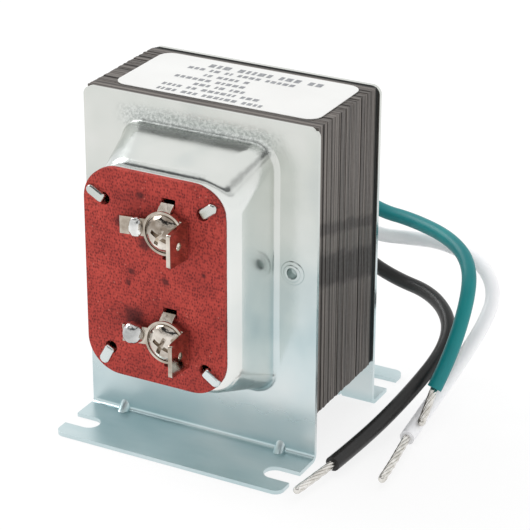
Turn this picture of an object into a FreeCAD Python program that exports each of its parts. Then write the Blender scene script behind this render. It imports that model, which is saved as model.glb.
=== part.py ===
import FreeCAD, Part
import math
import os

V = FreeCAD.Vector

# Doorbell transformer: a laminated iron core clamped between two pressed steel bells, with a
# terminal board on the front bell and three free leads from the rear bell.
# Millimetres, +Z up. The origin is the centre of the four foot slots on the mounting plane.
# The front, with the terminal board, faces -Y.

# Core: interleaved E and I laminations of the 3/4 inch size
core_height = 57.15         # along Z
core_width = 47.62          # along X
core_lift = 9.3             # underside of the core above the mounting plane
leg_width = 9.52            # outer legs, the E's back and the I
window_height = 9.52        # each of the two windows, along Z
stack_depth = 23.4          # along Y
layer_pitch = 0.9           # laminations are interleaved in books this thick
varnish_film = 0.04         # between two books
edge_stagger = 0.12         # every other book sits this far inside its neighbours
insulation_thickness = 0.7  # black fibre sheet between the stack and the rear bell
insulation_inset = 0.2

# Bells: two drawn covers of zinc plated sheet steel
sheet = 0.8
plate_overhang = 0.45       # the plates stand this far past the core's sides
plate_corner = 1.75
foot_length = 14.1          # from the plate's outer face
foot_corner = 1.75
bend_radius = 0.8           # inside of the bend between plate and foot
slot_width = 4.3
slot_depth = 6.25           # from the foot's side edge to the slot's round end
slot_offset = 8.1           # slot centre from the plate's outer face
gusset_inset = 7.2          # from the foot's side edge
gusset_leg = 1.95
gusset_width = 2.2
gusset_wall = 0.65          # metal left over the dart's hollow side
dome_side_room = 1.3        # bobbin's ends to the dome's side walls
dome_end_room = 6.0         # coil to the dome's upper and lower walls
dome_face_room = 3.45       # coil to the dome's face
dome_side_draft = 1.5       # each side wall leans in by this much
dome_end_draft = 3.65
dome_drop = 0.6             # dome centre below the core's centre
dome_base_corner = 4.3
dome_face_corner = 6.9
dome_foot_fillet = 1.2
dome_edge_fillet = 2.6

# Semi-tubular rivets through both plates and the core, clenched on the front
rivet_inset = 4.5           # from the core's side
rivet_radius = 1.55
rivet_clearance = 0.1
rivet_bore = 1.0
rivet_bore_depth = 2.0
rivet_flange = 2.35
rivet_flange_step = 0.25    # height of the flat ring round the rolled lip
rivet_lip = 1.7             # outer radius of the rolled lip
rivet_lip_height = 0.5
rivet_soft = 0.15           # broken edges of the rivet
rivet_head = 2.35           # plain head at the back
rivet_head_height = 0.8

# Coil
bobbin_clearance = 0.2
bobbin_wall = 1.0
bobbin_corner = 1.0
flange_thickness = 0.9
coil_clearance = 0.6        # bobbin to window walls
coil_rise = 8.3             # outside of the coil above the centre leg
wrap_thickness = 0.35
coil_corner = 4.3

# Terminal board of red vulcanised fibre
board_thickness = 1.1
board_overhang = 0.1        # past each side of the dome's face
board_end_inset = 0.45      # short of the dome's face at each end
board_corner = 6.75
board_x = -1.7
board_drop = 0.8            # board centre below the core's centre
tab_inset_x = 4.6           # tab roots from the board's sides
tab_inset_z = 5.6
tab_width = 1.9
tab_stem = 0.25             # inner face of the tab's stem from its root
tab_reach = 4.1
tab_chamfer = 0.25
tab_lance = 2.3             # length of the opening that each tab leaves in the dome
tab_lance_clearance = 0.1
tab_angles = (150.0, 38.0, 243.0, 325.0)  # upper left, upper right, lower left, lower right
tab_shifts = ((0.0, -0.85), (0.0, 0.0), (0.5, 0.0), (0.3, -0.3))  # folded by hand, so not quite alike
tab_hole_clearance = 0.25
tab_hole_span = (0.4, 0.6)  # middles of the round ends of the board's hole, from the tab's root
face_window_side = 2.8      # window's sides in from the tab roots
face_window_end = 2.8       # window's ends past the tab roots
face_window_corner = 2.6

# Terminals of nickel plated brass with a 6.3 mm push-on blade
terminal_x = 1.55
terminal_spacing = 21.5
terminal_drop = 0.7         # middle of the pair below the core's centre
terminal_sheet = 0.8
terminal_standoff = 0.8
terminal_radius = 4.2
terminal_rim = 0.45         # width of the raised rim round the screw's seat
terminal_rim_height = 0.35
tang_width = 2.6
tang_offset = 4.4           # inner face of the tang from the screw's axis
tang_depth = 1.55           # past the board's front face
tang_lap = 0.9              # where the tang's strap begins, inside the disc's edge
tang_shoulder = 0.2         # the strap bends upright this far above the board
tang_slot_height = 1.7
tang_slot_clearance = 0.1
blade_offset = 3.55         # inner face of the blade from the screw's axis
blade_reach = 7.0           # from the board's front face
blade_up = 2.9
blade_down = 4.4
blade_taper = 0.5
blade_corner = 0.5
blade_hole = 0.75
blade_hole_inset = 3.0      # from the blade's tip
solder_tab_end = 8.7
solder_tab_root = 3.7
solder_tab_width = 3.4
solder_tab_rise = 0.8
solder_tab_up = 0.3
screw_head_radius = 3.5
screw_head_height = 2.0
screw_rim = 0.4
screw_radius = 1.7
screw_clearance = 0.1
screw_length = 5.4
screw_hole_clearance = 0.4  # round the screw in the board
recess_width = 0.8
recess_length = 3.6
recess_depth = 1.2
recess_turn = 25.0
solder_ball_radius = 2.35
solder_blob_radius = 1.2
solder_blob_half_height = 1.8
solder_offsets = {"upper": 5.7, "lower": 6.55}  # the joints from the screws' axes
solder_up = {"upper": 0.3, "lower": 0.6}
solder_lift = 0.25          # centre of a joint above the terminal's sheet
solder_gap = 0.1            # a joint's underside above the board
secondary_wire_radius = 0.45
secondary_hole_clearance = 0.3

# Rating label on the core's top
label_length = 42.0
label_depth = 19.3
label_corner = 2.6
label_thickness = 0.15
label_x = 0.85
label_y = 0.35

# Lead bushing in the rear bell, and the three leads of 18 AWG fixture wire
bushing_drop = 1.7          # below the core's centre
bushing_bore = 3.4
bushing_radius = 4.3
bushing_clearance = 0.1
bushing_flange = 5.5
bushing_flange_height = 1.1
bushing_rounding = 0.5
bushing_bead = 4.7
bushing_bead_height = 1.2
lead_diameter = 2.9
conductor_radius = 0.75
conductor_rounding = 0.3

# Places worked out from the sizes
core_middle = core_lift + core_height / 2
core_top = core_lift + core_height
clamp_depth = stack_depth + insulation_thickness
plate_inner = clamp_depth / 2
plate_outer = plate_inner + sheet
plate_width = core_width + 2 * plate_overhang
gusset_x = plate_width / 2 - gusset_inset
rivet_x = core_width / 2 - rivet_inset
stack_front = -plate_inner
stack_middle = stack_front + stack_depth / 2
stack_back = stack_front + stack_depth
window_length = core_width - 2 * leg_width
centre_leg = core_height - 2 * leg_width - 2 * window_height
bobbin_end = window_length / 2 - coil_clearance
coil_height = centre_leg + 2 * coil_rise
coil_depth = stack_depth + 2 * coil_rise
coil_back = stack_middle + coil_depth / 2
coil_front = stack_middle - coil_depth / 2
dome_depth = coil_rise + dome_face_room + sheet
dome_base_width = 2 * (bobbin_end + dome_side_room + sheet)
dome_base_height = coil_height + 2 * (dome_end_room + sheet)
dome_face_width = dome_base_width - 2 * dome_side_draft
dome_face_height = dome_base_height - 2 * dome_end_draft
dome_face = plate_outer + dome_depth
dome_middle = core_middle - dome_drop
board_width = dome_face_width + 2 * board_overhang
board_height = dome_face_height - 2 * board_end_inset
board_front = dome_face + board_thickness
board_middle = core_middle - board_drop
tab_spacing_x = board_width - 2 * tab_inset_x
tab_spacing_z = board_height - 2 * tab_inset_z
face_window_width = tab_spacing_x - 2 * face_window_side
face_window_height = tab_spacing_z + 2 * face_window_end
terminal_back = board_front + terminal_standoff
terminal_front = terminal_back + terminal_sheet
bushing_middle = core_middle - bushing_drop
bushing_face = dome_face + bushing_flange_height
slot_y = plate_outer + slot_offset
foot_end = plate_outer + foot_length
terminal_middles = {
    "upper": core_middle - terminal_drop + terminal_spacing / 2,
    "lower": core_middle - terminal_drop - terminal_spacing / 2,
}

# Routes of the three leads: corner points, chosen by hand. Each starts on the coil's wrap,
# passes the bushing and swings round the transformer's right side to the mounting plane.
pair_spread = 1.55
green_rise = 1.75
pair_drop = 0.9
lead_routes = {
    "green": [
        (0.0, coil_back, bushing_middle + green_rise),
        (0.0, 32.0, bushing_middle + green_rise),
        (6.0, 38.5, 32.6),
        (12.5, 39.0, 29.1),
        (20.0, 38.0, 29.1),
        (30.0, 33.5, 29.1),
        (36.5, 28.5, 27.6),
        (39.5, 22.5, 23.6),
        (39.5, 14.5, 13.6),
        (38.0, 10.5, 8.1),
    ],
    "white": [
        (pair_spread, coil_back, bushing_middle - pair_drop),
        (pair_spread, 31.5, bushing_middle - pair_drop),
        (5.5, 37.5, 27.1),
        (11.5, 39.0, 23.6),
        (19.5, 40.0, 24.1),
        (26.5, 40.0, 24.6),
        (35.5, 38.0, 23.1),
        (40.5, 33.5, 19.6),
        (41.0, 28.0, 15.6),
        (38.5, 21.0, 8.6),
        (36.5, 13.5, 3.6),
        (37.5, -0.5, 2.6),
    ],
    "black": [
        (-pair_spread, coil_back, bushing_middle - pair_drop),
        (-pair_spread, 31.5, bushing_middle - pair_drop),
        (2.5, 37.5, 26.1),
        (9.5, 38.5, 18.1),
        (17.0, 37.5, 15.6),
        (26.5, 34.5, 15.6),
        (33.5, 28.0, 14.1),
        (35.5, 20.5, 11.1),
        (33.5, 9.5, 6.6),
        (31.0, -4.0, 3.1),
        (29.5, -16.0, 2.6),
    ],
}
conductor_tips = {
    "green": (38.8, 3.0, 4.5),
    "white": (39.4, -15.5, 1.9),
    "black": (27.6, -26.5, 2.0),
}

parts = {}


def box(low, high):
    """A block between two corners."""
    size = [b - a for a, b in zip(low, high)]
    return Part.makeBox(size[0], size[1], size[2], V(*low))


def rod_y(radius, x, z, y_from, y_to):
    """A cylinder along Y."""
    return Part.makeCylinder(radius, y_to - y_from, V(x, y_from, z), V(0, 1, 0))


def rounded_wire(width, height, corner, x, y, z):
    """A rounded rectangle in a plane of constant Y, centred on x and z."""
    w = width / 2 - corner
    h = height / 2 - corner
    diagonal = corner * math.sqrt(0.5)
    edges = []
    corners = [(w, h, 1, 1), (-w, h, -1, 1), (-w, -h, -1, -1), (w, -h, 1, -1)]
    for i, (cx, cz, sx, sz) in enumerate(corners):
        side = V(x + cx + sx * corner, y, z + cz)
        top = V(x + cx, y, z + cz + sz * corner)
        first, last = (side, top) if sx * sz > 0 else (top, side)
        middle = V(x + cx + sx * diagonal, y, z + cz + sz * diagonal)
        edges.append(Part.Arc(first, middle, last).toShape())
        nx, nz, ax, az = corners[(i + 1) % 4]
        nside = V(x + nx + ax * corner, y, z + nz)
        ntop = V(x + nx, y, z + nz + az * corner)
        edges.append(Part.LineSegment(last, nside if ax * az > 0 else ntop).toShape())
    return Part.Wire(edges)


def rounded_block(width, height, corner, x, z, y_from, y_to):
    """A rounded rectangle standing from one Y to another."""
    face = Part.Face(rounded_wire(width, height, corner, x, y_from, z))
    return face.extrude(V(0, y_to - y_from, 0))


def line(a, b):
    """A straight edge between two points of the XY plane."""
    return Part.LineSegment(V(*a), V(*b)).toShape()


def arc(a, b, c):
    """A round edge through three points of the XY plane."""
    return Part.Arc(V(*a), V(*b), V(*c)).toShape()


def turned_round_y(edges):
    """A solid of revolution from a closed outline of radius and Y."""
    return Part.Face(Part.Wire(edges)).revolve(V(0, 0, 0), V(0, 1, 0), 360)


def edges_where(shape, test):
    """The edges of a shape whose vertices all pass a test."""
    return [e for e in shape.Edges if all(test(v.Point) for v in e.Vertexes)]


def corner_edges(shape, axis, test):
    """The straight edges along one axis whose middle passes a test."""
    found = []
    for edge in shape.Edges:
        if len(edge.Vertexes) != 2:
            continue
        a, b = edge.Vertexes[0].Point, edge.Vertexes[1].Point
        run = b - a
        across = [run.x, run.y, run.z]
        along = across.pop(axis)
        if abs(along) > 0.1 and max(abs(c) for c in across) < 1e-6 and test((a + b) * 0.5):
            found.append(edge)
    return found


# Core

def lamination(kind, side, y_from, y_to, inset):
    """One E or I stamping. side is -1 or +1, the side that holds the E's back or the I."""
    half_w = core_width / 2
    half_h = core_height / 2
    butt = half_w - leg_width
    z_low = core_middle - half_h + inset
    z_high = core_middle + half_h - inset
    if kind == "I":
        x_low, x_high = sorted((side * butt, side * (half_w - inset)))
        body = box((x_low, y_from, z_low), (x_high, y_to, z_high))
    else:
        x_low, x_high = sorted((side * (half_w - inset), -side * butt))
        body = box((x_low, y_from, z_low), (x_high, y_to, z_high))
        for end in (-1, 1):
            near = core_middle + end * centre_leg / 2
            far = core_middle + end * (centre_leg / 2 + window_height)
            z_a, z_b = sorted((near, far))
            body = body.cut(box((-butt, y_from, z_a), (butt, y_to, z_b)))
    hole = rod_y(rivet_radius + rivet_clearance, side * rivet_x, core_middle, y_from, y_to)
    return body.cut(hole)


def build_core():
    layers = int(round(stack_depth / layer_pitch))
    groups = {}
    for i in range(layers):
        side = -1 if i % 2 == 0 else 1
        inset = 0.0 if i % 2 == 0 else edge_stagger
        y_from = stack_front + i * layer_pitch
        y_to = y_from + layer_pitch - varnish_film
        words = {-1: "left", 1: "right"}
        e_name = "e_laminations_" + words[side]
        i_name = "i_laminations_" + words[-side]
        groups.setdefault(e_name, []).append(lamination("E", side, y_from, y_to, inset))
        groups.setdefault(i_name, []).append(lamination("I", -side, y_from, y_to, inset))
    for name, solids in groups.items():
        parts[name] = Part.makeCompound(solids)


def build_insulation():
    inset = insulation_inset
    half_w = core_width / 2 - inset
    low = core_lift + inset
    high = core_top - inset
    body = box((-half_w, stack_back, low), (half_w, plate_inner, high))
    opening_x = window_length / 2
    opening_z = centre_leg / 2 + window_height
    body = body.cut(box((-opening_x, stack_back, core_middle - opening_z),
                        (opening_x, plate_inner, core_middle + opening_z)))
    for side in (-1, 1):
        hole = rivet_radius + rivet_clearance
        body = body.cut(rod_y(hole, side * rivet_x, core_middle, stack_back, plate_inner))
    parts["rear_insulating_sheet"] = body


# Coil

def ring_block(outer_z, outer_y, inner_z, inner_y, corner, x_from, x_to):
    """A rounded rectangular ring round the centre leg, standing along X."""
    def outline(height, depth, radius):
        wire = rounded_wire(depth, height, radius, 0, 0, 0)
        solid = Part.Face(wire).extrude(V(0, x_to - x_from, 0))
        solid.rotate(V(0, 0, 0), V(0, 0, 1), -90)
        solid.translate(V(x_from, stack_middle, core_middle))
        return solid
    outer = outline(outer_z, outer_y, corner)
    inner_corner = max(0.5, corner - (outer_z - inner_z) / 2)
    return outer.cut(outline(inner_z, inner_y, inner_corner))


def build_coil():
    end = bobbin_end
    bore_z = centre_leg + 2 * bobbin_clearance
    bore_y = stack_depth + 2 * bobbin_clearance
    tube_z = bore_z + 2 * bobbin_wall
    tube_y = bore_y + 2 * bobbin_wall
    full_z = coil_height
    full_y = coil_depth
    wound_z = full_z - 2 * wrap_thickness
    wound_y = full_y - 2 * wrap_thickness
    bobbin = ring_block(tube_z, tube_y, bore_z, bore_y, bobbin_corner, -end, end)
    spans = [
        (-end, -end + flange_thickness, full_z, full_y),
        (-flange_thickness / 2, flange_thickness / 2, wound_z, wound_y),
        (end - flange_thickness, end, full_z, full_y),
    ]
    for x_from, x_to, size_z, size_y in spans:
        bobbin = bobbin.fuse(ring_block(size_z, size_y, bore_z, bore_y, coil_corner, x_from, x_to))
    parts["bobbin"] = bobbin.removeSplitter()
    half = flange_thickness / 2
    inner = end - flange_thickness
    parts["secondary_winding"] = ring_block(
        wound_z, wound_y, tube_z, tube_y, coil_corner, -inner, -half)
    parts["primary_winding"] = ring_block(
        wound_z, wound_y, tube_z, tube_y, coil_corner, half, inner)
    parts["coil_wrap"] = ring_block(full_z, full_y, wound_z, wound_y, coil_corner, -inner, inner)


# Bells

def drawn_form(skin, y_plate, y_face, slab_from):
    """A dome standing on a slab. skin is how far it lies inside the bell's outer surface."""
    base = rounded_wire(dome_base_width - 2 * skin, dome_base_height - 2 * skin,
                        dome_base_corner - skin, 0, y_plate, dome_middle)
    face = rounded_wire(dome_face_width - 2 * skin, dome_face_height - 2 * skin,
                        dome_face_corner - skin, 0, y_face, dome_middle)
    dome = Part.makeLoft([base, face], True, True)
    low, high = sorted((y_plate, slab_from))
    reach_x = plate_width / 2 + 1
    slab = box((-reach_x, low, core_lift - 5), (reach_x, high, core_top + 5))
    form = slab.fuse(dome)
    foot = edges_where(form, lambda p: abs(p.y - y_plate) < 1e-6
                       and abs(p.x) < dome_base_width / 2 + 0.1
                       and abs(p.z - dome_middle) < dome_base_height / 2 + 0.1)
    form = form.makeFillet(dome_foot_fillet + skin, foot)
    top = edges_where(form, lambda p: abs(p.y - y_face) < 1e-6)
    return form.makeFillet(dome_edge_fillet - skin, top)


def bracket_blank():
    """The flat plate, its bend and the foot, before the dome is drawn."""
    outer_bend = bend_radius + sheet
    root = math.sqrt(0.5)
    heel = V(0, -plate_inner - outer_bend, outer_bend)
    instep = V(0, -plate_outer - bend_radius, sheet + bend_radius)
    points = {
        "a": V(0, -plate_inner, core_top),
        "b": V(0, -plate_inner, outer_bend),
        "c": V(0, -plate_inner - outer_bend, 0),
        "d": V(0, -foot_end, 0),
        "e": V(0, -foot_end, sheet),
        "f": V(0, -plate_outer - bend_radius, sheet),
        "g": V(0, -plate_outer, sheet + bend_radius),
        "h": V(0, -plate_outer, core_top),
    }
    lines = [("a", "b"), ("c", "d"), ("d", "e"), ("e", "f"), ("g", "h"), ("h", "a")]
    edges = {pair: Part.LineSegment(points[pair[0]], points[pair[1]]).toShape() for pair in lines}
    outside = Part.Arc(points["b"], heel + V(0, outer_bend * root, -outer_bend * root), points["c"])
    inside = Part.Arc(points["f"], instep + V(0, bend_radius * root, -bend_radius * root), points["g"])
    wire = Part.Wire([edges[lines[0]], outside.toShape(), edges[lines[1]], edges[lines[2]],
                      edges[lines[3]], inside.toShape(), edges[lines[4]], edges[lines[5]]])
    blank = Part.Face(wire).extrude(V(plate_width, 0, 0))
    blank.translate(V(-plate_width / 2, 0, 0))
    tops = corner_edges(blank, 1, lambda p: p.z > core_top - 0.1)
    blank = blank.makeFillet(plate_corner, tops)
    toes = corner_edges(blank, 2, lambda p: p.y < -foot_end + 0.1)
    return blank.makeFillet(foot_corner, toes)


def foot_slot(side):
    """An open slot that runs in from the foot's side edge."""
    edge = side * plate_width / 2
    centre = edge - side * (slot_depth - slot_width / 2)
    x_low, x_high = sorted((centre, edge + side))
    straight = box((x_low, -slot_y - slot_width / 2, -1), (x_high, -slot_y + slot_width / 2, sheet + 1))
    end = Part.makeCylinder(slot_width / 2, sheet + 2, V(centre, -slot_y, -1))
    return straight.fuse(end)


def gusset(x, skin):
    """A dart pressed into the bend: a round rib that slants from the plate to the foot."""
    radius = gusset_width / 2 - skin
    deep = 2 * gusset_width
    outline = Part.Wire([
        arc((-radius, 0), (0, -radius), (radius, 0)),
        line((radius, 0), (radius, deep)),
        line((radius, deep), (-radius, deep)),
        line((-radius, deep), (-radius, 0)),
    ])
    length = 3 * gusset_leg
    rib = Part.Face(outline).extrude(V(0, 0, length))
    rib.translate(V(0, 0, -length / 2))
    rib.rotate(V(0, 0, 0), V(1, 0, 0), -45)
    slant = gusset_leg / 2 - gusset_width / 2 * math.sqrt(0.5)
    rib.translate(V(x, -plate_outer - slant, sheet + slant))
    return rib


def outer_rib(x):
    """The dart's raised side, only where it stands in front of the plate and above the foot."""
    sunk = sheet / 4
    reach = 2 * gusset_leg
    room = box((x - gusset_width, -plate_outer - reach, sheet - sunk),
               (x + gusset_width, -plate_outer + sunk, sheet + reach))
    return gusset(x, 0).common(room)


def bell():
    """One bell blank, facing -Y: bracket, drawn dome, slots, gussets and rivet holes."""
    blank = bracket_blank()
    outer = drawn_form(0.0, -plate_outer, -dome_face, -plate_outer + sheet / 2)
    inner = drawn_form(sheet, -plate_inner, -dome_face + sheet, -plate_inner + 3)
    trim = box((-plate_width / 2 + plate_corner, -dome_face - 1, core_lift),
               (plate_width / 2 - plate_corner, -plate_outer + sheet / 2, core_top - plate_corner))
    body = blank.fuse(outer.common(trim)).cut(inner)
    for side in (-1, 1):
        body = body.cut(foot_slot(side))
        body = body.fuse(outer_rib(side * gusset_x)).cut(gusset(side * gusset_x, gusset_wall))
        hole = rivet_radius + rivet_clearance
        body = body.cut(rod_y(hole, side * rivet_x, core_middle, -plate_outer - 1, -plate_inner + 1))
    return body.removeSplitter()


def tab_places():
    """Each board tab's root and outward direction in the XZ plane."""
    places = []
    signs = [(-1, 1), (1, 1), (-1, -1), (1, -1)]
    for (sx, sz), angle, (shift_x, shift_z) in zip(signs, tab_angles, tab_shifts):
        x = board_x + sx * tab_spacing_x / 2 + shift_x
        z = board_middle + sz * tab_spacing_z / 2 + shift_z
        places.append((x, z, angle))
    return places


def turned(shape, x, z, angle):
    """A shape drawn along +X from the origin, turned and moved to a tab's place."""
    shape.rotate(V(0, 0, 0), V(0, 1, 0), -angle)
    shape.translate(V(x, 0, z))
    return shape


def board_tab(x, z, angle):
    """A tab lanced out of the dome's face, through the board and folded down on it."""
    half = tab_width / 2
    top = board_front + sheet
    fold = tab_stem + sheet
    stem = box((tab_stem, -top + sheet, -half), (fold, -dome_face + sheet / 2, half))
    bend = Part.makeCylinder(sheet, tab_width, V(fold, -top + sheet, -half), V(0, 0, 1))
    bend = bend.common(box((tab_stem, -top, -half), (fold, -top + sheet, half)))
    flat = box((fold, -top, -half), (tab_reach - half, -board_front, half))
    end = rod_y(half, tab_reach - half, 0, -top, -board_front)
    tab = stem.fuse([bend, flat, end]).removeSplitter()
    rim = edges_where(tab, lambda p: p.y < -top + 0.01 and p.x > fold - 0.01)
    rim = [e for e in rim if abs(e.CenterOfMass.x - fold) > 0.01]
    return turned(tab.makeChamfer(tab_chamfer, rim), x, z, angle)


def tab_opening(x, z, angle):
    """The hole that a lanced tab leaves in the dome's face."""
    half = tab_width / 2 + tab_lance_clearance
    opening = box((-tab_lance, -dome_face - 1, -half), (tab_stem, -dome_face + sheet + 1, half))
    return turned(opening, x, z, angle)


def build_front_bell():
    body = bell()
    window = rounded_block(face_window_width, face_window_height, face_window_corner, board_x,
                           board_middle, -dome_face - 1, -dome_face + sheet + 1)
    body = body.cut(window)
    for x, z, angle in tab_places():
        body = body.cut(tab_opening(x, z, angle))
        body = body.fuse(board_tab(x, z, angle))
    parts["front_bell"] = body.removeSplitter()


def build_rear_bell():
    body = bell().mirror(V(0, 0, 0), V(0, 1, 0))
    hole = bushing_radius + bushing_clearance
    body = body.cut(rod_y(hole, 0, bushing_middle, dome_face - 4, dome_face + 1))
    parts["rear_bell"] = body


def build_rivets():
    """Rivets with a plain head at the back and a rolled lip round a short bore at the front."""
    seat = -plate_outer
    ring = seat - rivet_flange_step
    crest = seat - rivet_lip_height
    crown = plate_outer + rivet_head_height
    low = rivet_soft
    outline = [
        (0, crown), (0, crest + rivet_bore_depth), (rivet_bore, crest + rivet_bore_depth),
        (rivet_bore, crest + low), (rivet_bore + low, crest),
        (rivet_lip - low, crest), (rivet_lip, crest + low), (rivet_lip, ring),
        (rivet_flange - low, ring), (rivet_flange, ring + low), (rivet_flange, seat),
        (rivet_radius, seat), (rivet_radius, plate_outer), (rivet_head, plate_outer),
        (rivet_head, plate_outer + low), (rivet_head * 0.8, crown - low), (rivet_head / 2, crown),
    ]
    edges = [line(a, b) for a, b in zip(outline, outline[1:] + outline[:1])]
    for side, name in ((-1, "left_eyelet"), (1, "right_eyelet")):
        body = turned_round_y(edges)
        body.translate(V(side * rivet_x, 0, core_middle))
        parts[name] = body


# Terminal board and terminals

def tang_slot(middle, end):
    """A slot in the board for one of a terminal's tangs, above or below its screw."""
    half = tang_width / 2 + tang_slot_clearance
    near = middle + end * (tang_offset - tang_slot_clearance)
    far = near + end * tang_slot_height
    z_low, z_high = sorted((near, far))
    return box((terminal_x - half, -board_front - 1, z_low), (terminal_x + half, -dome_face + 1, z_high))


def secondary_place(word):
    """Where a secondary wire comes up through the board, in X and Z."""
    return terminal_x - solder_offsets[word], terminal_middles[word] + solder_up[word]


def build_board():
    board = rounded_block(board_width, board_height, board_corner, board_x, board_middle,
                          -board_front, -dome_face)
    half = tab_width / 2 + tab_hole_clearance
    for x, z, angle in tab_places():
        near, far = tab_hole_span
        slot = box((near, -board_front - 1, -half), (far, -dome_face + 1, half))
        for middle in (near, far):
            slot = slot.fuse(rod_y(half, middle, 0, -board_front - 1, -dome_face + 1))
        board = board.cut(turned(slot, x, z, angle))
    for word, middle in terminal_middles.items():
        for end in (-1, 1):
            board = board.cut(tang_slot(middle, end))
        hole = screw_radius + screw_hole_clearance
        board = board.cut(rod_y(hole, terminal_x, middle, -board_front - 1, -dome_face + 1))
        x, z = secondary_place(word)
        hole = secondary_wire_radius + secondary_hole_clearance
        board = board.cut(rod_y(hole, x, z, -board_front - 1, -dome_face + 1))
    parts["terminal_board"] = board


def tang(end, back, front):
    """A strap that leaves the terminal's disc, bends and enters the board, above or below."""
    outside = tang_offset + terminal_sheet
    bend = -board_front - tang_shoulder
    tip = -board_front + tang_depth
    inner_bend = bend - tang_shoulder / 2
    inner_edge = terminal_radius - terminal_sheet / 2
    root = terminal_radius - tang_lap
    outline = [
        (root, front), (terminal_radius, front), (outside, bend), (outside, tip),
        (tang_offset, tip), (tang_offset, inner_bend), (inner_edge, back), (root, back),
    ]
    points = [V(-tang_width / 2, y, end * z) for z, y in outline]
    return Part.Face(Part.makePolygon(points + [points[0]])).extrude(V(tang_width, 0, 0))


def blade(back):
    """The push-on blade, bent forward from the disc's right side."""
    tip = -board_front - blade_reach
    outline = [
        (back, blade_up), (tip, blade_up - blade_taper),
        (tip, -blade_down + blade_taper), (back, -blade_down),
    ]
    points = [V(blade_offset, y, z) for y, z in outline]
    body = Part.Face(Part.makePolygon(points + [points[0]])).extrude(V(terminal_sheet, 0, 0))
    corners = corner_edges(body, 0, lambda p: p.y < tip + blade_corner)
    body = body.makeFillet(blade_corner, corners)
    middle = (blade_up - blade_down) / 2
    eye = Part.makeCylinder(blade_hole, 3 * terminal_sheet,
                            V(blade_offset - terminal_sheet, tip + blade_hole_inset, middle), V(1, 0, 0))
    return body.cut(eye)


def terminal_blank():
    """One terminal round its screw's axis at X = Z = 0."""
    back, front = -terminal_back, -terminal_front
    disc = rod_y(terminal_radius, 0, 0, front, back)
    disc = disc.fuse(box((0, front, -blade_down), (blade_offset, back, blade_up)))
    rim = rod_y(terminal_radius, 0, 0, front - terminal_rim_height, front)
    rim = rim.cut(rod_y(terminal_radius - terminal_rim, 0, 0, front - 1, front + 1))
    body = disc.fuse(rim).common(box((-terminal_radius, front - 1, -terminal_radius),
                                     (blade_offset, back, terminal_radius)))
    strip = [V(-solder_tab_root, back, 0), V(-solder_tab_end, back - solder_tab_rise, 0),
             V(-solder_tab_end, front - solder_tab_rise, 0), V(-solder_tab_root, front, 0)]
    strip = Part.Face(Part.makePolygon(strip + [strip[0]])).extrude(V(0, 0, solder_tab_width))
    strip.translate(V(0, 0, solder_tab_up - solder_tab_width / 2))
    body = body.fuse([tang(-1, back, front), tang(1, back, front), blade(back), strip])
    return body.cut(rod_y(screw_radius + screw_clearance, 0, 0, front - 1, back + 1)).removeSplitter()


def screw():
    """A domed terminal screw with a cross recess, its head's seat on the terminal."""
    seat = -terminal_front
    tip = seat + screw_length
    top = seat - screw_head_height
    rim = seat - screw_rim
    shoulder = (screw_head_radius * 0.66, top + (rim - top) * 0.3)
    body = turned_round_y([
        line((0, tip), (screw_radius, tip)),
        line((screw_radius, tip), (screw_radius, seat)),
        line((screw_radius, seat), (screw_head_radius, seat)),
        line((screw_head_radius, seat), (screw_head_radius, rim)),
        arc((screw_head_radius, rim), shoulder, (0, top)),
        line((0, top), (0, tip)),
    ])
    half = recess_width / 2
    reach = recess_length / 2
    bar = box((-reach, top - 1, -half), (reach, top + recess_depth, half))
    cross = box((-half, top - 1, -reach), (half, top + recess_depth, reach))
    recess = bar.fuse(cross)
    recess.rotate(V(0, 0, 0), V(0, 1, 0), recess_turn)
    return body.cut(recess)


def build_terminals():
    for word, middle in terminal_middles.items():
        terminal = terminal_blank()
        terminal.translate(V(terminal_x, 0, middle))
        parts[word + "_terminal"] = terminal
        body = screw()
        body.translate(V(terminal_x, 0, middle))
        parts[word + "_terminal_screw"] = body
        x, z = secondary_place(word)
        wire_end = terminal_back + solder_tab_rise / 2
        wire = rod_y(secondary_wire_radius, x, z, -wire_end, coil_front)
        parts[word + "_secondary_lead"] = wire.cut(terminal)
    joints = {"upper": solder_blob(), "lower": Part.makeSphere(solder_ball_radius)}
    for word, joint in joints.items():
        x, z = secondary_place(word)
        joint.translate(V(x, -terminal_front - solder_lift, z))
        parts[word + "_solder_joint"] = keep_solder(joint, word)


def solder_blob():
    """An upright bead with round ends."""
    straight = solder_blob_half_height - solder_blob_radius
    bead = Part.makeCylinder(solder_blob_radius, 2 * straight, V(0, 0, -straight))
    ends = [Part.makeSphere(solder_blob_radius, V(0, 0, z)) for z in (-straight, straight)]
    return bead.fuse(ends).removeSplitter()


def keep_solder(blob, word):
    """Solder shaped round the terminal's tab and the wire, clear of the board."""
    blob = blob.cut(parts[word + "_terminal"]).cut(parts[word + "_secondary_lead"])
    room = box((-plate_width, -dome_face - blade_reach - plate_width, 0),
               (plate_width, -board_front - solder_gap, core_top))
    pieces = blob.common(room).Solids
    return max(pieces, key=lambda s: s.Volume)


# Label

def build_label():
    half_x = label_length / 2
    half_y = label_depth / 2
    label = box((label_x - half_x, label_y - half_y, core_top),
                (label_x + half_x, label_y + half_y, core_top + label_thickness))
    corners = corner_edges(label, 2, lambda p: True)
    parts["rating_label"] = label.makeFillet(label_corner, corners)


# Leads

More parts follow.
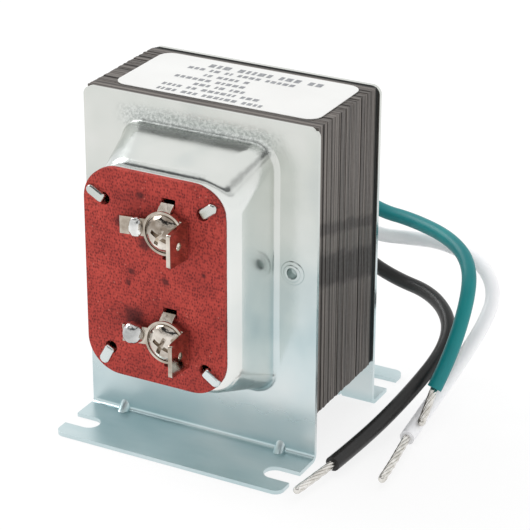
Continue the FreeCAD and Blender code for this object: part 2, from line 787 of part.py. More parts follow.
def build_bushing():
    """A black snap bushing: flange outside the dome, bead inside it."""
    inner = dome_face - sheet - bushing_clearance
    barrel = rod_y(bushing_radius, 0, bushing_middle, inner - bushing_bead_height, bushing_face)
    flange = rod_y(bushing_flange, 0, bushing_middle, dome_face, bushing_face)
    flange = flange.makeFillet(bushing_rounding, edges_where(flange, lambda p: p.y > bushing_face - 0.01))
    bead = Part.makeCone(bushing_radius, bushing_bead, bushing_bead_height,
                         V(0, inner - bushing_bead_height, bushing_middle), V(0, 1, 0))
    body = barrel.fuse([flange, bead])
    bore = rod_y(bushing_bore, 0, bushing_middle, inner - bushing_bead_height - 1, bushing_face + 1)
    parts["lead_bushing"] = body.cut(bore).removeSplitter()


def lead_path(points):
    """Straight runs joined by tangent arcs, each as large as its two runs allow."""
    p = [V(*c) for c in points]
    edges = []
    last = p[0]
    radii = []
    length = 0.0
    for before, corner, after in zip(p, p[1:], p[2:]):
        run_in = corner - before
        run_out = after - corner
        shorter = min(run_in.Length, run_out.Length)
        turn = run_in.getAngle(run_out)
        cut = 0.45 * shorter
        radius = cut / math.tan(turn / 2)
        start = corner - V(run_in).normalize() * cut
        end = corner + V(run_out).normalize() * cut
        inward = (V(run_out).normalize() - V(run_in).normalize()).normalize()
        sagitta = radius / math.cos(turn / 2) - radius
        edges.append(Part.LineSegment(last, start).toShape())
        edges.append(Part.Arc(start, corner + inward * sagitta, end).toShape())
        length += (start - last).Length + radius * turn
        radii.append(round(radius, 1))
        last = end
    edges.append(Part.LineSegment(last, p[-1]).toShape())
    length += (p[-1] - last).Length
    return Part.Wire(edges), radii, length


def build_leads():
    for colour, route in lead_routes.items():
        path, radii, length = lead_path(route)
        start = V(*route[0])
        ring = Part.Wire([Part.makeCircle(lead_diameter / 2, start, V(0, 1, 0))])
        tube = path.makePipeShell([ring], True, False)
        expected = math.pi * (lead_diameter / 2) ** 2 * length
        print(colour, "lead: length %.1f, radii %s, volume ratio %.4f"
              % (length, radii, tube.Volume / expected))
        parts[colour + "_lead"] = tube
        end = V(*route[-1])
        tip = V(*conductor_tips[colour])
        axis = tip - end
        wire = Part.makeCylinder(conductor_radius, axis.Length, end, axis)
        blunt = [e for e in wire.Edges if len(e.Vertexes) == 1 and e.CenterOfMass.distanceToPoint(tip) < 0.1]
        wire = wire.makeFillet(conductor_rounding, blunt)
        parts[colour + "_conductor"] = wire.cut(tube)


def main():
    os.makedirs("parts", exist_ok=True)
    build_core()
    build_insulation()
    build_coil()
    build_front_bell()
    build_rear_bell()
    build_rivets()
    build_board()
    build_terminals()
    build_label()
    build_bushing()
    build_leads()
    for name, shape in parts.items():
        shape.exportStep("parts/" + name + ".step")
        box_ = shape.BoundBox
        print("%-26s solids %2d valid %s volume %9.2f  x %.2f..%.2f y %.2f..%.2f z %.2f..%.2f" % (
            name, len(shape.Solids), shape.isValid(), shape.Volume,
            box_.XMin, box_.XMax, box_.YMin, box_.YMax, box_.ZMin, box_.ZMax))


main()
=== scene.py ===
# %% [markdown]
# # A doorbell transformer
# This notebook dresses the finished frame of a small bell-wire transformer: an iron core made
# of thin stampings, two zinc plated covers pressed from sheet steel, a red fibre board with
# two screw terminals and three free leads. The frame gives every piece its place and its
# size. Here each surface gets the material it is really made of.

# %% Set-up
import math
import random

import bmesh
import bpy
from mathutils import Matrix, Vector
from mathutils import noise as value_noise


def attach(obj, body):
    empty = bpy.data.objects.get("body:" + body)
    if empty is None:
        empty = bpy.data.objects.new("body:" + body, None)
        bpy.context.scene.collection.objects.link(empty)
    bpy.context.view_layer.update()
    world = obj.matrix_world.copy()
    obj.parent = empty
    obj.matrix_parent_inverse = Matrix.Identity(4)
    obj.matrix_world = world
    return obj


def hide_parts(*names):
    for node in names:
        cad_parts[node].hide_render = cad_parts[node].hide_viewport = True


MM = 0.001
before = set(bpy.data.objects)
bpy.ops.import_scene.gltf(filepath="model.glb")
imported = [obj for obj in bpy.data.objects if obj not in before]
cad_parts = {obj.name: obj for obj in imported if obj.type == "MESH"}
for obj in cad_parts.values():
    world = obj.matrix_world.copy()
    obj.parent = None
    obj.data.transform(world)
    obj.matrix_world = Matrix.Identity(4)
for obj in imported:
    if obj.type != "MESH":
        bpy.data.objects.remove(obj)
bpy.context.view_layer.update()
print("nodes:", len(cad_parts))

# %% [markdown]
# The camera stands in front, to the right and above. A long lens keeps the box's edges nearly
# parallel, as a product photographer would.

# %% Camera
PHOTO_SIDE = 530
CAMERA_AZIMUTH = 27.952
CAMERA_ELEVATION = 24.762
CAMERA_ROLL = 0.17
FOCAL_PIXELS = 2195.7

camera_data = bpy.data.cameras.new("camera")
camera_data.sensor_width = 36.0
camera_data.lens = camera_data.sensor_width * FOCAL_PIXELS / PHOTO_SIDE
camera_data.clip_start = 0.01
camera_data.clip_end = 20.0
camera = bpy.data.objects.new("camera", camera_data)
bpy.context.scene.collection.objects.link(camera)
turn = Matrix.Rotation(math.radians(CAMERA_AZIMUTH), 4, "Z")
tilt = Matrix.Rotation(math.radians(90 - CAMERA_ELEVATION), 4, "X")
roll = Matrix.Rotation(math.radians(CAMERA_ROLL), 4, "Z")
stand = Matrix.Translation(Vector((183.46, -332.84, 205.34)) * MM)
camera.matrix_world = stand @ turn @ tilt @ roll
bpy.context.scene.camera = camera
print("lens:", round(camera_data.lens, 2), "mm")

# %% [markdown]
# ## Finishes
# A colour is written as a hex value, as a paint chart gives it, and turned to linear light by
# one function. One small function adds a node with its settings and links.

# %% Colour and node helpers
def linear(hex_code):
    """A hex colour as linear red, green, blue and alpha."""
    parts = [int(hex_code[i:i + 2], 16) / 255 for i in (1, 3, 5)]
    return [p / 12.92 if p <= 0.04045 else ((p + 0.055) / 1.055) ** 2.4 for p in parts] + [1.0]


def add(tree, kind, inputs=None, **settings):
    """Adds a node, sets its properties, and sets or links its inputs."""
    node = tree.nodes.new(kind)
    for key, value in settings.items():
        setattr(node, key, value)
    for key, value in (inputs or {}).items():
        if isinstance(value, bpy.types.NodeSocket):
            tree.links.new(value, node.inputs[key])
        else:
            node.inputs[key].default_value = value
    return node


def finish(name, **values):
    """A new material: its node tree, its shader and its object coordinates."""
    material = bpy.data.materials.new(name)
    material.use_nodes = True
    tree = material.node_tree
    shader = tree.nodes["Principled BSDF"]
    for key, value in values.items():
        shader.inputs[key.replace("_", " ").title().replace("Ior", "IOR")].default_value = value
    place = add(tree, "ShaderNodeTexCoord").outputs["Object"]
    return material, tree, shader, place


def ramp(tree, factor, stops):
    """A colour ramp through pairs of position and hex colour."""
    node = add(tree, "ShaderNodeValToRGB", {"Fac": factor})
    elements = node.color_ramp.elements
    while len(elements) < len(stops):
        elements.new(0.5)
    for element, (position, colour) in zip(elements, stops):
        element.position = position
        element.color = linear(colour)
    return node.outputs["Color"]


def calc(tree, operation, *values):
    """One step of arithmetic on numbers or sockets."""
    return add(tree, "ShaderNodeMath", dict(enumerate(values)), operation=operation).outputs[0]


def times(tree, first, second):
    """The product of two values."""
    return calc(tree, "MULTIPLY", first, second)


def blend(tree, factor, first, second):
    """One colour laid over another by a factor."""
    node = add(tree, "ShaderNodeMix", {"Factor": factor, "A": first, "B": second}, data_type="RGBA")
    return node.outputs["Result"]


def spread(tree, value, low, high, start=0.0, end=1.0):
    """A value turned from the range start to end into low to high, evenly."""
    return add(tree, "ShaderNodeMapRange", {"Value": value, "From Min": start, "From Max": end,
                                            "To Min": low, "To Max": high}).outputs[0]


def steps(tree, value, start, end, low=0.0, high=1.0):
    """A value turned from the range start to end, in millimetres, into low to high, softly."""
    node = add(tree, "ShaderNodeMapRange", {"Value": value, "From Min": start * MM, "From Max": end * MM,
                                            "To Min": low, "To Max": high}, interpolation_type="SMOOTHSTEP")
    return node.outputs[0]


def noise(tree, vector, size, detail=3.0, roughness=0.5):
    """Noise whose largest features are this many millimetres wide."""
    return add(tree, "ShaderNodeTexNoise", {"Vector": vector, "Scale": 1 / (size * MM), "Detail": detail,
                                            "Roughness": roughness}).outputs["Fac"]


def squeeze(tree, vector, scale):
    """Object coordinates scaled along X, Y and Z, which draws a pattern out or presses it."""
    return add(tree, "ShaderNodeMapping", {"Vector": vector, "Scale": scale}).outputs[0]


def relief(tree, height, strength, depth, under=None):
    """A bump of this depth in millimetres, laid over another bump if there is one."""
    inputs = {"Height": height, "Strength": strength, "Distance": depth * MM}
    if under is not None:
        inputs["Normal"] = under
    return add(tree, "ShaderNodeBump", inputs).outputs[0]


def plug(tree, shader, **sockets):
    """Links values to the shader's inputs, named as in base_color or roughness."""
    for name, value in sockets.items():
        tree.links.new(value, shader.inputs[name.replace("_", " ").title()])


# %% [markdown]
# ### Zinc plated steel
# The covers are drawn from zinc plated sheet, a bright grey metal. The plating is a little
# bluer towards the feet. The dome's walls get a painted sheen, a brighter tone that is weaker
# on the dome's top. The press stretches the plate just above the dome, where the zinc turns
# dull and speckled: a box gives that patch its soft outline.
# The feet have faint, long stains.

# %% Zinc
zinc, tree, shader, place = finish("zinc plated steel", metallic=1.0)
x, y, z = add(tree, "ShaderNodeSeparateXYZ", {0: place}).outputs
clouds = noise(tree, place, 20)
high = ramp(tree, clouds, [(0.3, "#BEC4C2"), (0.5, "#D0D3CE"), (0.7, "#DBDCD8")])
low = ramp(tree, clouds, [(0.3, "#BACED2"), (0.5, "#CFDCDE"), (0.7, "#DCE3E3")])
slant = calc(tree, "MULTIPLY_ADD", x, -0.3, z)
base = blend(tree, steps(tree, slant, 6, 52), low, high)
across = calc(tree, "ABSOLUTE", x)
depth = calc(tree, "ABSOLUTE", y)
# Painted sheen: the dome's walls are painted a brighter zinc, less so on the dome's top.
dome_sheen = times(tree, steps(tree, depth, 13.2, 15.5), steps(tree, depth, 25.4, 26.2, 1.0, 0.0))
dome_sheen = times(tree, dome_sheen, steps(tree, z, 3, 6))
dome_sheen = times(tree, dome_sheen, steps(tree, z, 55, 58, 1.0, 0.45))
bright = ramp(tree, clouds, [(0.3, "#D3D9D8"), (0.5, "#E3E6E3"), (0.7, "#EBECE9")])
base = blend(tree, dome_sheen, base, bright)
stains = noise(tree, squeeze(tree, place, (0.4, 1.0, 1.0)), 8)
stains = ramp(tree, stains, [(0.3, "#B2CBCF"), (0.7, "#D3E0E2")])
base = blend(tree, steps(tree, z, 1.2, 3.5, 0.8, 0.0), base, stains)
speckle = noise(tree, place, 0.5, 4.0, 0.7)
grains = ramp(tree, speckle, [(0.42, "#949B99"), (0.58, "#D9DDDA")])
patch = times(tree, steps(tree, z, 59.5, 61), steps(tree, z, 63, 65.5, 1.0, 0.0))
patch = times(tree, patch, steps(tree, across, 12, 19, 0.6, 0.0))
patch = times(tree, patch, steps(tree, depth, 13.5, 16, 1.0, 0.0))
gloss = spread(tree, noise(tree, place, 6, 5.0), 0.11, 0.24)
rough = calc(tree, "MULTIPLY_ADD", patch, 0.25, gloss)
rough = calc(tree, "ADD", rough, steps(tree, z, 4, 18, 0.13, 0.0))
dents = relief(tree, noise(tree, place, 9, 1.0), 0.10, 0.6)
pits = relief(tree, speckle, 0.13, 0.08, under=dents)
plug(tree, shader, base_color=blend(tree, patch, base, grains), roughness=rough, normal=pits)

# %% [markdown]
# ### Lamination steel
# The core is a pile of silicon steel stampings 0.45 mm thick, dipped in varnish. Each
# stamping has its own tone: its number in the pile, counted along Y, picks it at random.
# Two ragged, darker bands run round the sides.

# %% Lamination steel
STACK_FRONT = -12.05
STAMPING = 0.45

laminations, tree, shader, place = finish("varnished silicon steel", metallic=0.7)
x, y, z = add(tree, "ShaderNodeSeparateXYZ", {0: place}).outputs
count = calc(tree, "SUBTRACT", y, STACK_FRONT * MM)
count = calc(tree, "DIVIDE", count, STAMPING * MM)
count = calc(tree, "FLOOR", count)
pick = add(tree, "ShaderNodeTexWhiteNoise", {"W": count}, noise_dimensions="1D").outputs["Value"]
tones = ramp(tree, pick, [(0.0, "#373432"), (0.35, "#4D4946"), (0.7, "#625D59"), (1.0, "#7B746F")])
streaks = noise(tree, squeeze(tree, place, (0.1, 3.0, 0.1)), 1.2, 3.0, 0.6)
worn = blend(tree, ramp(tree, streaks, [(0.35, "#000000"), (0.7, "#B0B0B0")]), tones, linear("#8A837D"))
runs = noise(tree, squeeze(tree, place, (1.0, 1.0, 2.6)), 4.0, 4.0, 0.6)
edge = calc(tree, "MULTIPLY_ADD", runs, 3.2 * MM, z)
edge = calc(tree, "MULTIPLY_ADD", y, 0.29, edge)
# Two ragged darker bands round the sides, at heights that slant a little with depth.
broad = times(tree, steps(tree, edge, 32.6, 34.4), steps(tree, edge, 38.6, 41.2, 1.0, 0.0))
thin = times(tree, steps(tree, edge, 43.2, 44.4, 0.0, 0.75), steps(tree, edge, 45.4, 46.8, 1.0, 0.0))
dark_bands = times(tree, calc(tree, "MAXIMUM", broad, thin), 0.72)
plug(tree, shader, base_color=blend(tree, dark_bands, worn, linear("#2C2927")),
     roughness=spread(tree, noise(tree, place, 0.7), 0.34, 0.6), normal=relief(tree, streaks, 0.3, 0.06))

# %% [markdown]
# ### Vulcanised fibre
# The board is red fibre: cotton rag pulp pressed between cloths to a hard sheet. The cloth
# leaves rows of small dark pores. There are a few pale fibres. Shadow is painted on the
# board beside and under the two solder joints, and it has a few dark specks.

# %% Red fibre
BOARD_FACE = -26.5
# The first three are painted shadow beside and under the solder joints; the rest are dark specks.
SHADOWS_AND_SPECKS = ((-8.4, 47.6, 1.3), (-3.4, 44.4, 1.5), (-6.0, 29.0, 2.5), (-6.5, 38.1, 0.7),
              (-7.1, 35.8, 0.6), (0.6, 37.6, 0.7), (-4.2, 53.4, 0.8), (8.6, 40.5, 0.5))  # x, z, radius

red_fibre, tree, shader, place = finish("red vulcanised fibre", roughness=0.8, ior=1.5,
                                        specular_ior_level=0.3)
tone = noise(tree, place, 7, 4.0)
reds = ramp(tree, tone, [(0.3, "#9A352E"), (0.5, "#AC3D35"), (0.7, "#B9463C")])
weave = squeeze(tree, place, (1.45, 1.0, 0.85))
pores = add(tree, "ShaderNodeTexVoronoi", {"Vector": weave, "Scale": 1 / (0.5 * MM), "Randomness": 0.6})
pores = pores.outputs["Distance"]
colour = blend(tree, spread(tree, pores, 0.92, 0.0, 0.08, 0.66), reds, linear("#4A1215"))
fibres = add(tree, "ShaderNodeTexVoronoi", {"Vector": place, "Scale": 1 / (1.7 * MM)})
pale = spread(tree, fibres.outputs["Distance"], 0.5, 0.0, 0.05, 0.12)
colour = blend(tree, pale, colour, linear("#C87A6C"))
ragged = noise(tree, place, 1.8, 4.0)
# Painted shadow at the solder joints and a few dark specks darken the red.
for spot_x, spot_z, radius in SHADOWS_AND_SPECKS:
    spot = [c * MM for c in (spot_x, BOARD_FACE, spot_z)]
    apart = add(tree, "ShaderNodeVectorMath", {0: place, 1: spot}, operation="DISTANCE").outputs["Value"]
    apart = calc(tree, "MULTIPLY_ADD", ragged, radius * 1.2 * MM, apart)
    cover = steps(tree, apart, radius, 2 * radius, 0.75, 0.0)
    colour = blend(tree, cover, colour, linear("#3A1417"))
plug(tree, shader, base_color=colour, normal=relief(tree, pores, 0.35, 0.06))

# %% [markdown]
# ### Nickel, solder and tinned copper
# The terminals are brass under a thin nickel plate, which keeps a warm tone. Solder is bright
# and uneven. Tinned copper strands are pale and a little dull.

# %% Bright metals
def bright_metal(name, low, high, roughness, grain_mm, depth_mm, strength):
    """A plated or cast metal with a mottled tone and a fine uneven skin."""
    material, tree, shader, place = finish(name, metallic=1.0)
    tone = noise(tree, place, grain_mm * 3)
    skin = noise(tree, place, grain_mm, 4.0)
    plug(tree, shader, base_color=ramp(tree, tone, [(0.3, low), (0.7, high)]),
         roughness=spread(tree, skin, roughness * 0.75, roughness * 1.3),
         normal=relief(tree, skin, strength, depth_mm))
    return material


nickel = bright_metal("nickel plated brass", "#978B7D", "#E3DBD0", 0.13, 1.2, 0.08, 0.4)
screw_steel = bright_metal("nickel plated steel", "#8C8073", "#F0E9E0", 0.09, 1.3, 0.2, 0.6)
solder = bright_metal("tin solder", "#ACADAC", "#F0F0EE", 0.10, 1.1, 0.2, 0.6)
tinned = bright_metal("tinned copper", "#C4C0B8", "#F0EEEA", 0.2, 0.7, 0.08, 0.4)
copper = bright_metal("enamelled copper", "#7A3B20", "#A65A33", 0.3, 1.0, 0.05, 0.3)

# %% [markdown]
# ### Plastics
# The leads are PVC insulated, and the bushing and the bobbin are nylon. The sheet behind the
# core is black: painted shade for the dark gap between the core and the rear cover. Each has a
# soft gloss and a slightly uneven skin.

# %% Plastics
def plastic(name, dark, light, roughness, ior, skin_mm, depth_mm):
    """A coloured plastic with a slight change of tone and a fine skin."""
    material, tree, shader, place = finish(name, ior=ior, specular_ior_level=0.35)
    skin = noise(tree, place, skin_mm)
    plug(tree, shader, base_color=ramp(tree, noise(tree, place, 8), [(0.35, dark), (0.7, light)]),
         roughness=spread(tree, skin, roughness - 0.06, roughness + 0.08),
         normal=relief(tree, skin, 0.2, depth_mm))
    return material


green_pvc = plastic("green PVC", "#007478", "#007F80", 0.42, 1.53, 0.6, 0.03)
white_pvc = plastic("white PVC", "#ECECEE", "#F0F0F1", 0.34, 1.53, 0.6, 0.03)
black_pvc = plastic("black PVC", "#191818", "#232221", 0.36, 1.53, 0.6, 0.03)
black_nylon = plastic("black nylon", "#1C1C1C", "#262626", 0.42, 1.53, 0.5, 0.03)
# The rear sheet's black is painted shade for the gap between the core and the rear cover.
gap_shade_black = plastic("black sheet as painted gap shade", "#0F0F0F", "#191919", 0.6, 1.5, 0.3, 0.04)
bobbin_nylon = plastic("natural nylon", "#D9D4C4", "#E4E0D2", 0.4, 1.53, 0.8, 0.03)
coil_tape = plastic("amber coil tape", "#C9A34A", "#D8B765", 0.28, 1.5, 1.5, 0.03)

# %% [markdown]
# ### Rating label
# The label is a white plastic film. Its words are not copied: rows of short grey dashes stand
# in for them, printed as thin patches on the film.

# %% Label film and ink
label_film, tree, shader, place = finish("white label film", roughness=0.38, ior=1.5)
film = ramp(tree, noise(tree, place, 14, 2.0), [(0.3, "#D6D6D4"), (0.7, "#DBDBD9")])
plug(tree, shader, base_color=film)

label_ink, tree, shader, place = finish("grey label ink", roughness=0.6, ior=1.5)
worn_ink = ramp(tree, noise(tree, place, 0.5), [(0.35, "#77797C"), (0.65, "#95979A")])
plug(tree, shader, base_color=worn_ink)

# %% [markdown]
# ## Leads
# Each lead is one stranded fixture wire. It leaves the coil inside the rear cover, passes the
# bushing and swings round the right side to the mounting plane. One smooth spline follows the
# same listed points as the frame's solid.

# %% Leads
LEAD_DIAMETER = 2.9
lead_routes = {
    "green": [(0, 19.65, 37.925), (0, 32, 37.925), (6, 38.5, 32.6), (12.5, 39, 29.1), (20, 38, 29.1),
              (30, 33.5, 29.1), (36.5, 28.5, 27.6), (39.5, 22.5, 23.6), (39.5, 14.5, 13.6),
              (38, 10.5, 8.1)],
    "white": [(1.55, 19.65, 35.275), (1.55, 31.5, 35.275), (5.5, 37.5, 27.1), (11.5, 39, 23.6),
              (19.5, 40, 24.1), (26.5, 40, 24.6), (35.5, 38, 23.1), (40.5, 33.5, 19.6), (41, 28, 15.6),
              (38.5, 21, 8.6), (36.5, 13.5, 3.6), (37.5, -0.5, 2.6)],
    "black": [(-1.55, 19.65, 35.275), (-1.55, 31.5, 35.275), (2.5, 37.5, 26.1), (9.5, 38.5, 18.1),
              (17, 37.5, 15.6), (26.5, 34.5, 15.6), (33.5, 28, 14.1), (35.5, 20.5, 11.1),
              (33.5, 9.5, 6.6), (31, -4, 3.1), (29.5, -16, 2.6)],
}
lead_finishes = {"green": green_pvc, "white": white_pvc, "black": black_pvc}


def spline_curve(name, points, radius, resolution=16):
    """A round cord along a smooth spline with these control points, in millimetres."""
    data = bpy.data.curves.new(name, "CURVE")
    data.dimensions = "3D"
    data.resolution_u = resolution
    data.bevel_depth = radius * MM
    data.bevel_resolution = 6
    data.use_fill_caps = True
    spline = data.splines.new("NURBS")
    spline.points.add(len(points) - 1)
    for knot, point in zip(spline.points, points):
        knot.co = [c * MM for c in point] + [1.0]
    spline.order_u = 3
    spline.use_endpoint_u = True
    curve = bpy.data.objects.new(name, data)
    bpy.context.scene.collection.objects.link(curve)
    return curve


def new_piece(name, form, material, smooth=True):
    """Turns a bmesh into an object that rides on the transformer."""
    mesh = bpy.data.meshes.new(name)
    form.to_mesh(mesh)
    form.free()
    for face in mesh.polygons:
        face.use_smooth = smooth
    mesh.materials.append(material)
    piece = bpy.data.objects.new(name, mesh)
    bpy.context.scene.collection.objects.link(piece)
    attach(piece, "root")
    return piece


# %% [markdown]
# Where the insulation is stripped, the bare strands are twisted together and dipped in
# solder. Each strand is a thin tube wound round the conductor's line.

# %% Bared ends
STRAND_RADIUS = 0.29
STRAND_RING = 0.5
TWIST_PITCH = 13.0
SOLDER_TIP = 0.72
conductor_routes = {
    "green": [(38, 10.5, 8.1), (38.3, 8, 6.9), (38.6, 5.3, 5.5), (38.8, 3, 4.5)],
    "white": [(37.5, -0.5, 2.6), (38.2, -5.5, 2.4), (38.9, -10.5, 2.1), (39.4, -15.5, 1.9)],
    "black": [(29.5, -16, 2.6), (28.9, -19.5, 2.4), (28.3, -23, 2.2), (27.6, -26.5, 2.0)],
}


def line_points(curve):
    """Points along a curve's own line, in metres."""
    bare = curve.data.copy()
    bare.bevel_depth = 0.0
    holder = bpy.data.objects.new("line", bare)
    mesh = bpy.data.meshes.new_from_object(holder)
    points = [v.co.copy() for v in mesh.vertices]
    bpy.data.objects.remove(holder)
    bpy.data.meshes.remove(mesh)
    bpy.data.curves.remove(bare)
    return points


def strand_bundle(name, route):
    """Six strands twisted round a seventh, with a soldered tip, as one mesh."""
    guide = spline_curve(name + "_guide", route, 0.0, resolution=12)
    line = line_points(guide)
    bpy.data.objects.remove(guide)
    data = bpy.data.curves.new(name, "CURVE")
    data.dimensions = "3D"
    data.bevel_depth = STRAND_RADIUS * MM
    data.bevel_resolution = 2
    data.use_fill_caps = True
    side = Vector((0, 0, 1))
    for strand in range(7):
        spline = data.splines.new("POLY")
        spline.points.add(len(line) - 1)
        walked = 0.0
        for i, point in enumerate(line):
            before = line[max(i - 1, 0)]
            after = line[min(i + 1, len(line) - 1)]
            walked += (point - before).length
            along = (after - before).normalized()
            u = along.cross(side).normalized()
            v = along.cross(u)
            angle = 2 * math.pi * (strand / 6 + walked / (TWIST_PITCH * MM))
            ring = 0.0 if strand == 6 else STRAND_RING * MM
            spot = point + (u * math.cos(angle) + v * math.sin(angle)) * ring
            spline.points[i].co = (*spot, 1.0)
    holder = bpy.data.objects.new(name, data)
    mesh = bpy.data.meshes.new_from_object(holder)
    bpy.data.objects.remove(holder)
    form = bmesh.new()
    form.from_mesh(mesh)
    bpy.data.meshes.remove(mesh)
    tip = bmesh.ops.create_uvsphere(form, u_segments=20, v_segments=12, radius=SOLDER_TIP * MM)
    bmesh.ops.translate(form, verts=tip["verts"], vec=line[-1])
    return new_piece(name, form, tinned)


for colour, route in lead_routes.items():
    lead = spline_curve(colour + "_wire", route, LEAD_DIAMETER / 2)
    lead.data.materials.append(lead_finishes[colour])
    strands = strand_bundle(colour + "_strands", conductor_routes[colour])
    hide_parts(colour + "_conductor")
    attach(lead, "root")
    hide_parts(colour + "_lead")
    line = line_points(lead)

# %% [markdown]
# ## Sheet metal and plates
# Real stampings have slightly rounded edges that catch the light. A copy of each frame node
# is merged to clean faces, its sharp edges get a small bevel, and the flat faces keep their
# own normals.

# %% Merged copies of the frame's nodes
TABS_BEGIN = -26.6
SHARP = 32


def clean_copy(node_name):
    """A frame node's mesh with its doubled corners merged and its flat faces joined."""
    form = bmesh.new()
    form.from_mesh(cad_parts[node_name].data)
    bmesh.ops.remove_doubles(form, verts=form.verts, dist=0.0005 * MM)
    bmesh.ops.dissolve_limit(form, angle_limit=math.radians(0.4), verts=form.verts, edges=form.edges)
    return form


def edges_over(form, degrees):
    """The edges whose two faces turn by more than this."""
    return [e for e in form.edges if e.is_manifold and e.calc_face_angle(0) > math.radians(degrees)]


def round_edges(form, edges, width, segments=2):
    """A small round bevel, its width in millimetres."""
    bmesh.ops.bevel(form, geom=edges, offset=width * MM, offset_type="OFFSET", segments=segments,
                    profile=0.5, affect="EDGES", material=-1, clamp_overlap=True)


def hand_over(piece, node_name):
    """A dressed piece takes its node's place: the node is hidden."""
    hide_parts(node_name)
    print(piece.name, len(piece.data.polygons), "faces")


def dressed(node_name, piece_name, material, edge, tabs=False):
    """A merged, bevelled copy of a frame node that replaces it. Tabs get rounder edges."""
    form = clean_copy(node_name)
    if tabs:
        rims = [e for e in edges_over(form, 20) if all(v.co.y < TABS_BEGIN * MM for v in e.verts)]
        round_edges(form, rims, 0.2, segments=3)
    round_edges(form, edges_over(form, SHARP), edge)
    piece = new_piece(piece_name, form, material)
    weighted = piece.modifiers.new("flat faces stay flat", "WEIGHTED_NORMAL")
    weighted.keep_sharp = True
    hand_over(piece, node_name)


dressed("front_bell", "front_cover", zinc, edge=0.12, tabs=True)
dressed("rear_bell", "rear_cover", zinc, edge=0.12)
dressed("left_eyelet", "left_rivet", zinc, edge=0.05)
dressed("right_eyelet", "right_rivet", zinc, edge=0.05)
dressed("terminal_board", "fibre_board", red_fibre, edge=0.12)
dressed("upper_terminal", "upper_contact", nickel, edge=0.1)
dressed("lower_terminal", "lower_contact", nickel, edge=0.1)
dressed("upper_terminal_screw", "upper_screw", screw_steel, edge=0.06)
dressed("lower_terminal_screw", "lower_screw", screw_steel, edge=0.06)
dressed("lead_bushing", "bushing", black_nylon, edge=0.15)
# The black sheet behind the core is painted shade for the gap there.
dressed("rear_insulating_sheet", "rear_sheet", gap_shade_black, edge=0.08)

# %% [markdown]
# ### Solder
# Each joint is a drop of solder that froze on the terminal's tab: a ball pulled a little out
# of round, flat where it lies on the tab.

# %% Solder drops
TAB_FACE = -28.2


def solder_drop(piece_name, node_name, centre, radii, seed):
    """An uneven ball of solder, flattened against the tab. Sizes in millimetres."""
    form = bmesh.new()
    bmesh.ops.create_icosphere(form, subdivisions=5, radius=1.0)
    for vert in form.verts:
        swell = 1 + 0.09 * value_noise.noise(vert.co * 1.6 + Vector((seed, 0, 0)))
        spot = Vector([c + r * swell * p for c, r, p in zip(centre, radii, vert.co)])
        spot.y = min(spot.y, TAB_FACE)
        vert.co = spot * MM
    hand_over(new_piece(piece_name, form, solder), node_name)


solder_drop("upper_solder", "upper_solder_joint", (-4.1, -28.5, 48.15), (1.4, 1.15, 2.0), 3)
solder_drop("lower_solder", "lower_solder_joint", (-5.0, -28.5, 27.05), (2.2, 2.05, 2.2), 9)

# %% [markdown]
# ### The pile of stampings
# The frame draws the core in books of 0.9 mm. Each book is parted here into its two
# stampings. Loose tolerances leave each stamping a little further in or out at each side: up
# to 0.12 mm behind the outline of the frame's outer books.

# %% Stampings
STAMPINGS = 52
BOOK = 2 * STAMPING
TWIN = STAMPING - 0.01
SHEET = 0.42
HALF_WIDTH = 23.8
HALF_HEIGHT = 28.55
CORE_MIDDLE = 37.875
MARGIN = 1.5
chance = random.Random(7)
set_back = {}
for number in range(STAMPINGS):
    deeper_book = (number // 2) % 2 == 1
    least, most = (-0.10, 0.02) if deeper_book else (0.0, 0.12)
    set_back[number] = [chance.uniform(least, most) for side in range(4)]


def stampings(node_name, piece_name):
    """Parts a node's books into single stampings with uneven edges."""
    form = clean_copy(node_name)
    first = list(form.verts)
    twin = bmesh.ops.duplicate(form, geom=form.verts[:] + form.edges[:] + form.faces[:])
    second = [v for v in twin["geom"] if isinstance(v, bmesh.types.BMVert)]
    for half, verts in enumerate((first, second)):
        for vert in verts:
            depth = (vert.co.y / MM - STACK_FRONT) / BOOK
            book = int(depth + 0.01)
            left, right, under, over = set_back[2 * book + half]
            front = STACK_FRONT + book * BOOK + half * TWIN
            vert.co.y = (front + (SHEET if depth - book > 0.5 else 0.0)) * MM
            if vert.co.x < (MARGIN - HALF_WIDTH) * MM:
                vert.co.x += left * MM
            if vert.co.x > (HALF_WIDTH - MARGIN) * MM:
                vert.co.x -= right * MM
            if vert.co.z < (CORE_MIDDLE - HALF_HEIGHT + MARGIN) * MM:
                vert.co.z += under * MM
            if vert.co.z > (CORE_MIDDLE + HALF_HEIGHT - MARGIN) * MM:
                vert.co.z -= over * MM
    hand_over(new_piece(piece_name, form, laminations, smooth=False), node_name)


for letter in ("e", "i"):
    for side in ("left", "right"):
        stampings(f"{letter}_laminations_{side}", f"{side}_{letter}_stampings")

# %% [markdown]
# ### The label and its dashes
# The film has rounded corners and a soft edge. Each printed row is a line of dashes, each row
# at the height and of the length that the label's rows have.

# %% Label
LABEL_LENGTH = 42.0
LABEL_DEPTH = 19.3
LABEL_CORNER = 2.6
LABEL_CENTRE = (0.85, 0.35)
CORE_TOP = CORE_MIDDLE + HALF_HEIGHT + 0.025
FILM = 0.12
INK = 0.02
printed_rows = [(-9.5, 14.5, 6.6, 1.7), (-12.7, 10.2, 4.1, 1.2), (-7.9, 2.6, 1.5, 1.2),
                (-12.6, 2.5, -1.0, 1.2), (-7.3, 3.5, -3.4, 1.2), (-12.6, 7.5, -5.7, 1.2),
                (-12.3, 10.4, -8.1, 1.2)]

